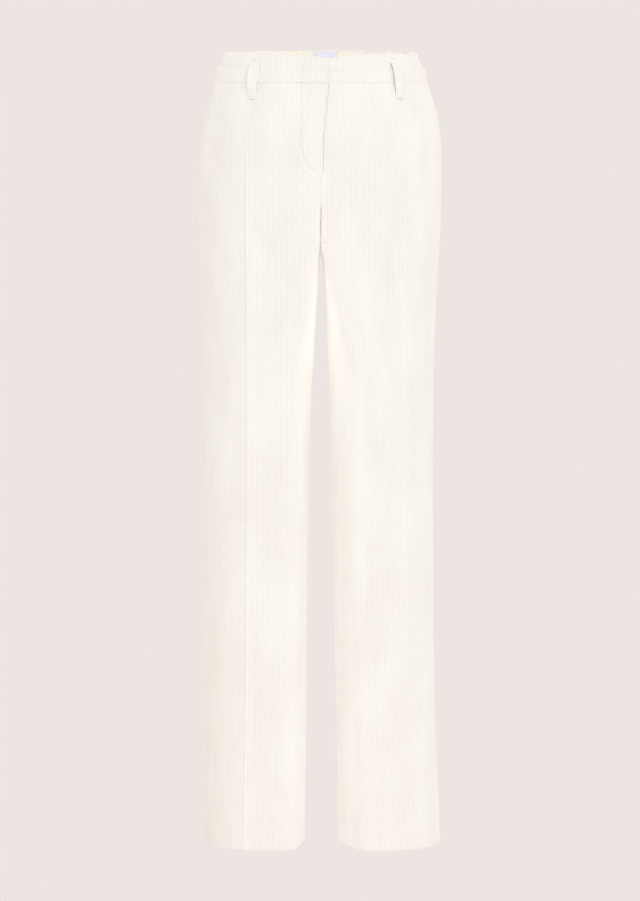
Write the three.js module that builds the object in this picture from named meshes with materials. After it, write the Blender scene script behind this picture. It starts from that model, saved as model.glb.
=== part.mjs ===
// Corduroy trousers, filled out, open at the waist and at both hems.
// Millimetres. +Z is up, the front faces -Y and the wearer's left is +X.
// The origin is the middle of the waist, level with the middle of the waistband at the side seams.
import * as THREE from "three";

// Cloth
const WALL = 1.8; // one layer of corduroy
const BAND_WALL = 2.8; // waistband, cloth folded over its stiffening
const BAND_PROUD = 0.6; // how far the waistband stands out from the panels
const HEM_DEPTH = 38;
const HEM_WALL = 3.4; // the hem is turned up once
const SEAM_GAP = 0.3;
const WALE = 3.2; // one rib of the corduroy with its groove
const WALE_RISE = 0.6; // from groove to top

// Heights, measured at the side seams
const WAIST_TOP = 20;
const WAIST_SEAM = -19;
const CROTCH = -257;
const HEM = -1065;

const FRONT_SPLIT = -193; // about here the front starts to part into legs
const SLIT_TOP = -211; // from here to the crotch the halves lie face to face
const SLIT_EASE = 0.8; // how much further apart the edges stay there
const SLIT_CALM = 12; // the ribs flatten this near the edge there

// Fly: the right front laps over the left front
const FLY_WIDTH = 40;
const FLY_LIFT = 1.35;
const FLY_LAP = 12;
const FLY_END = -166; // the lap has died out here
const FLY_NARROWS = -145; // and is at full width down to here
const TAB_LIFT = 1.85;
const TAB_RAMP = 34;
const TAB_LAP = 30;
const UNDER_TAB = 4; // the band under the tab starts to come up here

// Slanted pockets at the side seams
const POCKET_END = -166;
const FACING_TUCK = 8;
const FACING_WALL = 1.5;
const FACING_GAP = 0.8; // clear of the front, whose inside is made of flat faces

// Belt loops
const LOOP_WIDTH = 11.5;
const LOOP_WALL = 1.6;
const LOOP_STAND = 5.6;
const LOOP_CLEAR = 0.7; // over the ribs, where a loop lies on the cloth
const LOOP_TOP = 15;
const LOOP_END = -44;

// Label inside the back of the waistband
const LABEL_LEFT = 24;
const LABEL_RIGHT = -9;
const LABEL_TOP = 17;
const LABEL_MIDDLE = 5.5;
const LABEL_END = -6;
const LABEL_WALL = 1;

// Pressed creases
const CREASE_RISE = 3;
const CREASE_REACH = 14;
const CREASE_TOP = -50;
const CREASE_FULL = -230;

const SIDE_ANGLE = 97; // degrees from the front: the side seams lie a little behind the widest place
const TWIST_DONE = -450; // down to here each leg's section turns out

// Sections all round. tilt and bow raise a section towards the back, by y times tilt plus y squared
// times bow. right and left are the distances out to each side, front and back are depths.
const OUTLINE = [
  { height: 20, tilt: 0.231, bow: -0.00047, right: 133, left: 133, front: -88, back: 90 },
  { height: -19, tilt: 0.19, bow: 0, right: 144.5, left: 146, front: -104, back: 108 },
  { height: -64, tilt: 0.12, bow: 0, right: 156.4, left: 159, front: -111, back: 119 },
  { height: -110, tilt: 0.04, bow: 0, right: 164.3, left: 165.2, front: -113, back: 127 },
  { height: -165, tilt: 0, bow: 0, right: 167.8, left: 166.5, front: -110, back: 130 },
  { height: -190, tilt: 0, bow: 0, right: 167.8, left: 166, front: -107.6, back: 127.7 },
  { height: -225, tilt: 0, bow: 0, right: 167.4, left: 165.2, front: -104, back: 124 },
  { height: -257, tilt: 0, bow: 0, right: 166.4, left: 163.4, front: -101, back: 117 },
  { height: -321, tilt: 0, bow: 0, right: 163.3, left: 159.6, front: -95, back: 105 },
  { height: -383, tilt: 0, bow: 0, right: 160.5, left: 157.8, front: -91, back: 97 },
  { height: -459, tilt: 0, bow: 0, right: 159, left: 156.5, front: -88, back: 90 },
  { height: -597, tilt: 0, bow: 0, right: 159, left: 156, front: -85, back: 82 },
  { height: -735, tilt: 0, bow: 0, right: 159.3, left: 156.6, front: -83, back: 80 },
  { height: -872, tilt: 0, bow: 0, right: 159.6, left: 158.6, front: -82, back: 79 },
  { height: -1000, tilt: 0, bow: 0, right: 160.6, left: 163.2, front: -81, back: 79 },
  { height: -1065, tilt: 0, bow: 0, right: 161, left: 165.6, front: -80, back: 79 },
];

// How round the sections are: 2 is an ellipse, more is squarer. The back has one power, and the
// front has one on each side of its foremost line, since it is pressed flat inside its crease.
// lean is how far out that line is, from 0 in the middle to 1 halfway out.
const ROUNDNESS = [
  { height: 20, backPower: 2.35, innerPower: 2.35, outerPower: 2.35, lean: 0 },
  { height: -19, backPower: 2.45, innerPower: 2.45, outerPower: 2.45, lean: 0 },
  { height: -64, backPower: 2.6, innerPower: 2.6, outerPower: 2.6, lean: 0.05 },
  { height: -110, backPower: 2.7, innerPower: 2.7, outerPower: 2.7, lean: 0.2 },
  { height: -165, backPower: 2.6, innerPower: 4, outerPower: 2.6, lean: 0.5 },
  { height: -190, backPower: 2.5, innerPower: 9, outerPower: 2.45, lean: 0.66 },
  { height: -225, backPower: 2.35, innerPower: 12, outerPower: 2.2, lean: 0.86 },
  { height: -257, backPower: 2.2, innerPower: 14, outerPower: 2, lean: 1 },
  { height: -321, backPower: 2.1, innerPower: 12, outerPower: 1.85, lean: 1 },
  { height: -383, backPower: 2.1, innerPower: 9, outerPower: 1.8, lean: 1 },
  { height: -459, backPower: 2.1, innerPower: 7, outerPower: 1.8, lean: 1 },
  { height: -597, backPower: 2.1, innerPower: 6, outerPower: 1.8, lean: 1 },
  { height: -1065, backPower: 2.1, innerPower: 6, outerPower: 1.8, lean: 1 },
];

// How far in each half's section reaches: past the middle where the body is one,
// and short of it where the legs have parted, first at the front and then at the back.
const INNER = [
  { height: 20, frontRight: -133, frontLeft: -133, backRight: -133, backLeft: -133 },
  { height: -19, frontRight: -145.2, frontLeft: -145.2, backRight: -145.2, backLeft: -145.2 },
  { height: -64, frontRight: -157.7, frontLeft: -157.7, backRight: -157.7, backLeft: -157.7 },
  { height: -110, frontRight: -164.8, frontLeft: -164.8, backRight: -164.8, backLeft: -164.8 },
  { height: -140, frontRight: -158, frontLeft: -158, backRight: -162, backLeft: -162 },
  { height: -165, frontRight: -138, frontLeft: -138, backRight: -148, backLeft: -148 },
  { height: -180, frontRight: -100, frontLeft: -100, backRight: -130, backLeft: -130 },
  { height: -190, frontRight: -50, frontLeft: -50, backRight: -113, backLeft: -113 },
  { height: -200, frontRight: -12, frontLeft: -12, backRight: -90, backLeft: -90 },
  { height: -212, frontRight: -4, frontLeft: -4, backRight: -64, backLeft: -64 },
  { height: -225, frontRight: -1.6, frontLeft: -1.6, backRight: -37, backLeft: -37 },
  { height: -240, frontRight: -0.7, frontLeft: -0.7, backRight: -14, backLeft: -14 },
  { height: -250, frontRight: -0.3, frontLeft: -0.3, backRight: -3.5, backLeft: -3.5 },
  { height: -257, frontRight: 0.4, frontLeft: 0.4, backRight: 0.4, backLeft: 0.4 },
  { height: -264, frontRight: 1.7, frontLeft: 2.8, backRight: 1.7, backLeft: 2.8 },
  { height: -282, frontRight: 2.8, frontLeft: 4.8, backRight: 2.8, backLeft: 4.8 },
  { height: -321, frontRight: 4.6, frontLeft: 7.6, backRight: 4.6, backLeft: 7.6 },
  { height: -383, frontRight: 8.8, frontLeft: 11, backRight: 8.8, backLeft: 11 },
  { height: -459, frontRight: 13.2, frontLeft: 14.2, backRight: 13.2, backLeft: 14.2 },
  { height: -597, frontRight: 16.6, frontLeft: 17, backRight: 16.6, backLeft: 17 },
  { height: -735, frontRight: 18.2, frontLeft: 19.8, backRight: 18.2, backLeft: 19.8 },
  { height: -872, frontRight: 19.6, frontLeft: 22.4, backRight: 19.6, backLeft: 22.4 },
  { height: -1000, frontRight: 21.4, frontLeft: 25.2, backRight: 21.4, backLeft: 25.2 },
  { height: -1065, frontRight: 22.2, frontLeft: 26.4, backRight: 22.2, backLeft: 26.4 },
];

// Where the seams and creases run, as distances from the middle. opening is the edge of the fly and
// the seam below it, seat is the centre back seam, and both are towards the wearer's left.
const LINES = [
  { height: 20, opening: 10, seat: 7, right: 93, left: 104, rightBack: 74, leftBack: 70 },
  { height: -19, opening: 9.4, seat: 7, right: 96, left: 108, rightBack: 77, leftBack: 73 },
  { height: -64, opening: 6, seat: 7, right: 98, left: 111, rightBack: 79, leftBack: 75 },
  { height: -110, opening: 3, seat: 6, right: 99, left: 113, rightBack: 80, leftBack: 74 },
  { height: -150, opening: 2.4, seat: 4.4, right: 99, left: 113.2, rightBack: 79, leftBack: 71 },
  { height: -200, opening: 1, seat: 2.8, right: 99, left: 113.4, rightBack: 77.5, leftBack: 68 },
  { height: -225, opening: 0.6, seat: 2, right: 99, left: 113.5, rightBack: 77, leftBack: 66 },
  { height: -257, opening: 0, seat: 0, right: 98.5, left: 113.6, rightBack: 75, leftBack: 62 },
  { height: -321, opening: 0, seat: 0, right: 98.3, left: 113.7, rightBack: 72, leftBack: 56 },
  { height: -459, opening: 0, seat: 0, right: 98.3, left: 114, rightBack: 75, leftBack: 58 },
  { height: -597, opening: 0, seat: 0, right: 98.6, left: 114, rightBack: 77, leftBack: 61 },
  { height: -872, opening: 0, seat: 0, right: 100, left: 117, rightBack: 79, leftBack: 65 },
  { height: -1065, opening: 0, seat: 0, right: 103, left: 122.5, rightBack: 80, leftBack: 70.5 },
];

// The pocket mouth, as a distance in front of the side seam
const MOUTH = [
  { height: -19, forward: 30 },
  { height: -64, forward: 31 },
  { height: -110, forward: 29 },
  { height: -140, forward: 18 },
  { height: POCKET_END, forward: 0 },
];

// The two halves of the garment. side is the sign of X, and turn is how far the leg is turned out.
const RIGHT = { name: "right", side: -1, frontInner: "frontRight", backInner: "backRight", turn: 7.5 };
const LEFT = { name: "left", side: 1, frontInner: "frontLeft", backInner: "backLeft", turn: 18.5 };

const degrees = Math.PI / 180;

// A smooth curve through short lists of places and values, which never overshoots them
function smoothCurve(places, values, at) {
  const last = places.length - 1;
  const slope = (i) => (values[i + 1] - values[i]) / (places[i + 1] - places[i]);
  const tangent = (i) => {
    if (i === 0) return slope(0);
    if (i === last) return slope(last - 1);
    const before = slope(i - 1);
    const after = slope(i);
    return before * after <= 0 ? 0 : (2 * before * after) / (before + after);
  };
  const down = places[last] < places[0];
  const past = (i) => (down ? at <= places[i] : at >= places[i]);
  if (!past(0)) return values[0] + tangent(0) * (at - places[0]);
  if (past(last)) return values[last] + tangent(last) * (at - places[last]);
  let i = 0;
  while (past(i + 1)) i += 1;
  const span = places[i + 1] - places[i];
  const u = (at - places[i]) / span;
  const rise = u * u * (3 - 2 * u);
  const leaving = u * (1 - u) * (1 - u) * span * tangent(i);
  const arriving = u * u * (1 - u) * span * tangent(i + 1);
  return values[i] + (values[i + 1] - values[i]) * rise + leaving - arriving;
}

// One column of a table at any height, held at the table's ends
function columnAt(table, column, height) {
  const top = table[0].height;
  const end = table[table.length - 1].height;
  const at = Math.min(top, Math.max(end, height));
  return smoothCurve(
    table.map((row) => row.height),
    table.map((row) => row[column]),
    at,
  );
}

function smoothStep(from, to, at) {
  const u = Math.min(1, Math.max(0, (at - from) / (to - from)));
  return u * u * (3 - 2 * u);
}

function mix(a, b, share) {
  return a + (b - a) * share;
}

// Radius of a squarish round of size 1 in the direction of an angle
function squarish(angle, power) {
  const along = Math.abs(Math.cos(angle)) ** power;
  const across = Math.abs(Math.sin(angle)) ** power;
  return (along + across) ** (-1 / power);
}

// The values of one section. Each half has its own, measured outward from the middle.
const sectionCache = new Map();

function sectionAt(half, height) {
  const key = half.name + height.toFixed(3);
  if (sectionCache.has(key)) return sectionCache.get(key);
  const outer = columnAt(OUTLINE, half.name, height);
  const front = columnAt(OUTLINE, "front", height);
  const back = columnAt(OUTLINE, "back", height);
  const section = {
    outer,
    innerFront: columnAt(INNER, half.frontInner, height),
    innerBack: columnAt(INNER, half.backInner, height),
    middleDepth: (front + back) / 2,
    deep: (back - front) / 2,
    backPower: columnAt(ROUNDNESS, "backPower", height),
    innerPower: columnAt(ROUNDNESS, "innerPower", height),
    outerPower: columnAt(ROUNDNESS, "outerPower", height),
    lean: columnAt(ROUNDNESS, "lean", height),
    turn: half.turn * degrees * smoothStep(CROTCH, TWIST_DONE, height),
  };
  section.angles = seamAngles(half, section, height);
  section.tilt = columnAt(OUTLINE, "tilt", height);
  section.bow = columnAt(OUTLINE, "bow", height);
  sectionCache.set(key, section);
  return section;
}

function powerAt(section, angle) {
  if (Math.cos(angle) < 0) return section.backPower;
  return Math.sin(angle) < 0 ? section.innerPower : section.outerPower;
}

// A point of a section: angle 0 is its front, a quarter turn its outer side
function sectionPoint(section, angle) {
  const inner = Math.cos(angle) > 0 ? section.innerFront : section.innerBack;
  const middle = (section.outer + inner) / 2;
  const reach = (section.outer - inner) / 2;
  const { turn, deep } = section;
  const wide = Math.sqrt(reach ** 2 - (deep * Math.sin(turn)) ** 2) / Math.cos(turn);
  const radius = squarish(angle, powerAt(section, angle));
  const foremost = (section.lean * (section.outer + Math.max(0, inner))) / 2;
  const shift = Math.cos(angle) > 0 ? foremost - middle : 0; // only the front leans
  const across = (wide - Math.sign(Math.sin(angle)) * shift) * Math.sin(angle) * radius;
  const forward = deep * Math.cos(angle) * radius;
  return {
    x: middle + shift + across * Math.cos(turn) + forward * Math.sin(turn),
    y: section.middleDepth + across * Math.sin(turn) - forward * Math.cos(turn),
  };
}

// The angle where a section crosses x, between an angle on its inner side and one further out
function angleAtX(section, x, innerAngle, outerAngle) {
  if (sectionPoint(section, innerAngle).x >= x) return innerAngle;
  let low = innerAngle;
  let high = outerAngle;
  for (let i = 0; i < 40; i += 1) {
    const middle = (low + high) / 2;
    if (sectionPoint(section, middle).x < x) low = middle;
    else high = middle;
  }
  return low;
}

// Angles of the front edge, front crease, side seam, back crease and back edge
function seamAngles(half, section, height) {
  const quarter = Math.PI / 2;
  const side = mix(SIDE_ANGLE, 90, smoothStep(CROTCH, TWIST_DONE, height)) * degrees;
  const at = (column) => columnAt(LINES, column, height);
  return [
    angleAtX(section, half.side * at("opening"), -quarter + 1e-6, quarter),
    angleAtX(section, at(half.name), -quarter + 1e-6, quarter),
    side,
    angleAtX(section, at(half.name + "Back"), 3 * quarter, quarter + 1e-6),
    angleAtX(section, half.side * at("seat"), 3 * quarter, quarter + 1e-6),
  ];
}

// A place on the cloth is given by round and height. round runs from 0 at the centre front or
// inseam, through 0.25 at the front crease, 0.5 at the side seam and 0.75 at the back crease, to 1.
const ROUND_KNOTS = [0, 0.25, 0.5, 0.75, 1];

// The cloth's middle form, before folds and laps
function formPoint(half, round, height) {
  const section = sectionAt(half, height);
  const { x, y } = sectionPoint(section, smoothCurve(ROUND_KNOTS, section.angles, round));
  return new THREE.Vector3(half.side * x, y, height + section.tilt * y + section.bow * y * y);
}

// The direction out of the cloth
function outward(half, round, height) {
  const roundStep = 0.004;
  const heightStep = 1.5;
  const along = formPoint(half, round + roundStep, height).sub(formPoint(half, round - roundStep, height));
  const up = formPoint(half, round, height + heightStep).sub(formPoint(half, round, height - heightStep));
  return along.cross(up).multiplyScalar(half.side).normalize();
}

// Distances along the cloth at one height, measured from the centre front or inseam
const RING_STEPS = 240;
const RING_FIRST = -0.12;
const RING_LAST = 1.04;
const ringCache = new Map();

function ring(half, height) {
  const key = half.name + height.toFixed(3);
  if (ringCache.has(key)) return ringCache.get(key);
  const rounds = [];
  const distances = [];
  let before = null;
  for (let i = 0; i <= RING_STEPS; i += 1) {
    const round = mix(RING_FIRST, RING_LAST, i / RING_STEPS);
    const here = formPoint(half, round, height);
    rounds.push(round);
    distances.push(before ? distances[i - 1] + here.distanceTo(before) : 0);
    before = here;
  }
  const made = { rounds, distances };
  const zero = lookUp(rounds, distances, 0);
  made.distances = distances.map((distance) => distance - zero);
  ringCache.set(key, made);
  return made;
}

function lookUp(places, values, at) {
  let i = 0;
  while (i < places.length - 2 && places[i + 1] < at) i += 1;
  const u = (at - places[i]) / (places[i + 1] - places[i]);
  return mix(values[i], values[i + 1], u);
}

function distanceAt(half, round, height) {
  const { rounds, distances } = ring(half, height);
  return lookUp(rounds, distances, round);
}

function roundAt(half, distance, height) {
  const { rounds, distances } = ring(half, height);
  return lookUp(distances, rounds, distance);
}

// Relief of the pressed creases: a sharp ridge that dies out a little to each side
function creaseRelief(half, distance, height) {
  const strength = CREASE_RISE * smoothStep(CREASE_TOP, CREASE_FULL, height);
  let relief = 0;
  for (const crease of [0.25, 0.75]) {
    const away = Math.abs(distance - distanceAt(half, crease, height)) / CREASE_REACH;
    if (away < 1) relief += strength * (1 - away) ** 2;
  }
  return relief;
}

// The right front swells over the fly, and the left front sinks under it
function flyRelief(half, distance, height) {
  const strength = FLY_LIFT * smoothStep(FRONT_SPLIT, FLY_END, height);
  const nearEdge = half === RIGHT ? 8 : 10;
  const share = 1 - smoothStep(nearEdge, FLY_WIDTH - nearEdge / 2, distance);
  return (half === RIGHT ? 1 : -1) * strength * share;
}

function panelRelief(half, distance, height) {
  return creaseRelief(half, distance, height) + flyRelief(half, distance, height);
}

// The right end of the band rises over the left end, which sinks under it
function bandRelief(half, distance) {
  const start = half === RIGHT ? TAB_LAP : UNDER_TAB;
  const end = half === RIGHT ? TAB_LAP + TAB_RAMP : TAB_RAMP;
  const share = 1 - smoothStep(start, end, distance);
  return BAND_PROUD + (half === RIGHT ? 1 : -1) * TAB_LIFT * share;
}

// A point of the cloth at a distance along it, moved out by an amount
function clothPoint(half, distance, height, out) {
  const round = roundAt(half, distance, height);
  return formPoint(half, round, height).addScaledVector(outward(half, round, height), out);
}

// One surface of a wall, as lines of points that run down it side by side
function surface(count, heightsOf, pointAt) {
  const lines = [];
  for (let j = 0; j < count; j += 1) lines.push(heightsOf(j).map((height) => pointAt(j, height)));
  return lines;
}

// A closed wall between an outer and an inner surface
function closedWall(outer, inner) {
  const triangles = [];
  const face = (a, b, c) => triangles.push([a, b, c]);
  const turnedFace = (a, b, c) => triangles.push([a, c, b]);
  const top = (lines) => lines.map((line) => line[0]);
  const low = (lines) => lines.map((line) => line[line.length - 1]);
  for (let j = 0; j < outer.length - 1; j += 1) bridge(outer[j], outer[j + 1], face);
  for (let j = 0; j < inner.length - 1; j += 1) bridge(inner[j], inner[j + 1], turnedFace);
  bridge(outer[0], inner[0], turnedFace);
  bridge(outer[outer.length - 1], inner[inner.length - 1], face);
  bridge(top(outer), top(inner), face);
  bridge(low(outer), low(inner), turnedFace);
  return meshGeometry(triangles);
}

// How far along a line each of its points is, as a share of its length
function lengthShares(line) {
  const travelled = [0];
  for (let i = 1; i < line.length; i += 1) {
    travelled.push(travelled[i - 1] + line[i].distanceTo(line[i - 1]));
  }
  return travelled.map((distance) => distance / travelled[line.length - 1]);
}

// Faces between two lines. Lines with as many points as each other are joined point to point,
// and others by how far along them the points are.
function bridge(line, beside, face) {
  const alike = line.length === beside.length;
  const count = (points) => points.map((point, i) => i);
  const share = alike ? count(line) : lengthShares(line);
  const besideShare = alike ? count(beside) : lengthShares(beside);
  let i = 0;
  let j = 0;
  while (i < line.length - 1 || j < beside.length - 1) {
    if (j === beside.length - 1 || (i < line.length - 1 && share[i + 1] <= besideShare[j + 1])) {
      face(line[i], line[i + 1], beside[j]);
      i += 1;
    } else {
      face(line[i], beside[j + 1], beside[j]);
      j += 1;
    }
  }
}

// A mesh of triangles. Points that fall together become one, and faces with no area go.
function meshGeometry(triangles) {
  const found = new Map();
  const positions = [];
  const indexOf = (point) => {
    const key = point.toArray().map((value) => Math.round(value * 1000)).join(" ");
    if (!found.has(key)) {
      found.set(key, positions.length / 3);
      positions.push(point.x, point.y, point.z);
    }
    return found.get(key);
  };
  let volume = 0;
  const faces = [];
  for (const [a, b, c] of triangles) {
    volume += a.dot(b.clone().cross(c));
    const corners = [indexOf(a), indexOf(b), indexOf(c)];
    if (new Set(corners).size === 3) faces.push(corners);
  }
  const turned = volume < 0 ? faces.map(([a, b, c]) => [a, c, b]) : faces;
  const geometry = new THREE.BufferGeometry();
  geometry.setAttribute("position", new THREE.Float32BufferAttribute(positions, 3));
  geometry.setIndex(turned.flat());
  geometry.computeVertexNormals();
  return geometry;
}

// The ribs run along the crease and are cut off at the seams. Their tops and grooves are half a
// rib apart, counted from the groove at the crease.
const RIB_STEP = WALE / 2;
const RIB_END = 0.5; // a top or groove this near a seam ends at it

function ribPlace(count, first, zero, last) {
  const at = zero + count * RIB_STEP;
  if (at < first + RIB_END) return { at: first, rise: 0 };
  if (at > last - RIB_END) return { at: last, rise: 0 };
  return { at, rise: count % 2 === 0 ? -WALE_RISE / 2 : WALE_RISE / 2 };
}

// The outer surface of ribbed cloth. limits gives its edges, the line that its ribs follow, and
// how far the ribs flatten near the first edge.
function ribbedSurface(limits, rowsOf, allRows, pointAt) {
  const edges = allRows.map(limits);
  const lowest = Math.floor(Math.min(...edges.map(({ first, zero }) => (first - zero) / RIB_STEP)));
  const highest = Math.ceil(Math.max(...edges.map(({ last, zero }) => (last - zero) / RIB_STEP)));
  return surface(highest - lowest + 1, (j) => rowsOf(lowest + j), (j, height) => {
    const { first, zero, last, calm = 0 } = limits(height);
    const { at, rise } = ribPlace(lowest + j, first, zero, last);
    const left = mix(1, smoothStep(0, SLIT_CALM, at - first), calm);
    return pointAt(at, height, rise * left);
  });
}

const PANEL_TOP = WAIST_SEAM - SEAM_GAP / 2;
// Rows of points all along a panel, and closer ones near the fork
const LONG_ROWS = [PANEL_TOP, -84, POCKET_END, CROTCH, -345, -480, -735, HEM];
const FORK_ROWS = [
  PANEL_TOP, -84, POCKET_END, -184, -198, -211, -225, -240, -251, CROTCH, -264, -290, -345, -480, -735, HEM,
];
const FORK_REACH = 32; // from the centre seams, level with the pockets' ends
const HEM_ROWS = [HEM + HEM_DEPTH, HEM + HEM_DEPTH - 1, HEM];
const INSIDE_STEPS = 14; // the inside is plain

function withHem(rows) {
  return [...rows.slice(0, -1), ...HEM_ROWS];
}

function panelWall(height) {
  return height < HEM + HEM_DEPTH ? HEM_WALL : WALL;
}

// A panel from the waist seam to the hem. limits gives its first and last edge and its crease,
// and nearFork tells which distances from the crease need the closer rows.
function panel(half, limits, nearFork) {
  const rowsAt = (across) => (nearFork(across) ? FORK_ROWS : LONG_ROWS);
  const outer = ribbedSurface(limits, (count) => rowsAt(count * RIB_STEP), FORK_ROWS, (at, height, rise) =>
    clothPoint(half, at, height, panelRelief(half, at, height) + rise),
  );
  const { first, zero, last } = limits(POCKET_END);
  const insideRows = (j) => withHem(rowsAt(mix(first, last, j / INSIDE_STEPS) - zero));
  const inner = surface(INSIDE_STEPS + 1, insideRows, (j, height) => {
    const here = limits(height);
    const at = mix(here.first, here.last, j / INSIDE_STEPS);
    return clothPoint(half, at, height, panelRelief(half, at, height) - panelWall(height));
  });
  return closedWall(outer, inner);
}

function sideSeam(half, height) {
  return distanceAt(half, 0.5, height);
}

// 1 where the two halves lie face to face between the fly and the crotch, and 0 elsewhere
function inSlit(height) {
  return smoothStep(FRONT_SPLIT, SLIT_TOP, height) * smoothStep(CROTCH - SEAM_GAP, CROTCH + 5, height);
}

// Below the fly the lap under it has died out
function frontEdge(half, height) {
  const edge = SEAM_GAP / 2 + SLIT_EASE * inSlit(height);
  if (half === RIGHT) return edge;
  return mix(edge, -FLY_LAP, smoothStep(FLY_END, FLY_NARROWS, height));
}

function mouthForward(height) {
  return height < POCKET_END ? 0 : columnAt(MOUTH, "forward", height);
}

function frontPanel(half) {
  const limits = (height) => ({
    first: frontEdge(half, height),
    calm: inSlit(height),
    zero: distanceAt(half, 0.25, height),
    last: sideSeam(half, height) - mouthForward(height) - SEAM_GAP / 2,
  });
  const fork = limits(POCKET_END);
  return panel(half, limits, (across) => across < fork.first + FORK_REACH - fork.zero);
}

function backPanel(half) {
  const limits = (height) => ({
    first: sideSeam(half, height) + SEAM_GAP / 2,
    zero: distanceAt(half, 0.75, height),
    last: distanceAt(half, 1, height) - SEAM_GAP / 2,
  });
  const fork = limits(POCKET_END);
  return panel(half, limits, (across) => across > fork.last - FORK_REACH - fork.zero);
}

// The strip that shows behind each pocket mouth, tucked under the front
function pocketFacing(half) {
  const rows = LONG_ROWS.filter((height) => height >= POCKET_END);
  const steps = 4;
  const layer = (depth) =>
    surface(steps + 1, () => rows, (j, height) => {
      const last = sideSeam(half, height) - SEAM_GAP / 2;
      const first = last - mouthForward(height) - FACING_TUCK;
      return clothPoint(half, mix(first, last, j / steps), height, -depth);
    });
  return closedWall(layer(WALL + FACING_GAP), layer(WALL + FACING_GAP + FACING_WALL));
}

// Half of the waistband, from its end at the front to the centre back
function waistband(half) {
  const rows = [WAIST_TOP, LABEL_MIDDLE, WAIST_SEAM + SEAM_GAP / 2];
  const insideRows = [rows[0], LABEL_TOP, LABEL_MIDDLE, LABEL_END, rows[2]];
  const steps = 30;
  const start = half === RIGHT ? 0 : -TAB_LAP;
  const limits = (height) => ({
    first: start,
    zero: start,
    last: distanceAt(half, 1, height) - SEAM_GAP / 2,
  });
  const outer = ribbedSurface(limits, () => rows, rows, (at, height, rise) =>
    clothPoint(half, at, height, bandRelief(half, at) + rise),
  );
  const inner = surface(steps + 1, () => insideRows, (j, height) => {
    const { first, last } = limits(height);
    const at = mix(first, last, j / steps);
    return clothPoint(half, at, height, bandRelief(half, at) - BAND_WALL);
  });
  return closedWall(outer, inner);
}

// The distance along the cloth where the half's section crosses a given x
function distanceToX(half, height, x, fromRound, toRound) {
  let low = fromRound;
  let high = toRound;
  const want = Math.abs(x);
  const rising = Math.abs(formPoint(half, high, height).x) > Math.abs(formPoint(half, low, height).x);
  for (let i = 0; i < 40; i += 1) {
    const middle = (low + high) / 2;
    const over = Math.abs(formPoint(half, middle, height).x) > want;
    if (over === rising) high = middle;
    else low = middle;
  }
  return distanceAt(half, low, height);
}

// A belt loop lies on the band at its top and on the panel at its end, and stands off between
const LOOP_ROWS = [
  { share: 0, stand: 0 },
  { share: 0.12, stand: 0 },
  { share: 0.22, stand: 0.75 },
  { share: 0.35, stand: 1 },
  { share: 0.6, stand: 1 },
  { share: 0.76, stand: 0.75 },
  { share: 0.87, stand: 0 },
  { share: 1, stand: 0 },
];

function beltLoop({ half, topX, endX, back }) {
  const columns = [-0.5, 0, 0.5];
  const heightOf = (share) => mix(LOOP_TOP, LOOP_END, share);
  const layer = (out) =>
    columns.map((side) =>
      LOOP_ROWS.map(({ share, stand }) => {
        const height = heightOf(share);
        const range = back ? [0.6, 0.98] : [0.02, 0.4];
        const middle = distanceToX(half, height, mix(topX, endX, share), ...range);
        const onBand = height > WAIST_SEAM ? BAND_PROUD : 0;
        const off = onBand + LOOP_CLEAR + LOOP_STAND * stand + out;
        return clothPoint(half, middle + side * LOOP_WIDTH, height, off);
      }),
    );
  return closedWall(layer(LOOP_WALL), layer(0));
}

// The label hangs inside the back of the waistband, across the centre back seam
function label() {
  const steps = 6;
  const rows = [LABEL_TOP, LABEL_MIDDLE, LABEL_END];
  const face = BAND_WALL - BAND_PROUD + SEAM_GAP;
  const layer = (depth) =>
    surface(steps + 1, () => rows, (j, height) => {
      const centre = distanceAt(LEFT, 1, height) + columnAt(LINES, "seat", height);
      return clothPoint(LEFT, centre - mix(LABEL_RIGHT, LABEL_LEFT, j / steps), height, -depth);
    });
  return closedWall(layer(face), layer(face + LABEL_WALL));
}

function cloth(color) {
  return new THREE.MeshStandardMaterial({ color, roughness: 0.95, metalness: 0, side: THREE.FrontSide });
}

const trousers = new THREE.Group();

function addPiece(name, geometry, color) {
  const mesh = new THREE.Mesh(geometry, cloth(color));
  mesh.name = name;
  trousers.add(mesh);
}

const CORDUROY = "#f4eee6";
const CORDUROY_INSIDE = "#ece4d8";
const LABEL_CLOTH = "#ebecfa";

for (const half of [RIGHT, LEFT]) {
  addPiece("front_" + half.name, frontPanel(half), CORDUROY);
  addPiece("back_" + half.name, backPanel(half), CORDUROY);
  addPiece("waistband_" + half.name, waistband(half), CORDUROY);
  addPiece("pocket_facing_" + half.name, pocketFacing(half), CORDUROY_INSIDE);
}

// The belt loops, with the x of their top and lower ends
const LOOPS = [
  { name: "front_right", half: RIGHT, topX: -86, endX: -92, back: false },
  { name: "front_left", half: LEFT, topX: 98, endX: 107, back: false },
  { name: "back_right", half: RIGHT, topX: -77, endX: -80, back: true },
  { name: "back_left", half: LEFT, topX: 91, endX: 94, back: true },
];
for (const loop of LOOPS) addPiece("belt_loop_" + loop.name, beltLoop(loop), CORDUROY);

addPiece("label", label(), LABEL_CLOTH);

export default trousers;
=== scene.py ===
"""Corduroy trousers: the finish of every piece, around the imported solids.

Sizes are in millimetres, in the solids' own frame, and become metres when a mesh is made.
+Z is up, the front faces -Y, +X is the wearer's left, and the origin is the middle of the waist.
"""

import math

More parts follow.
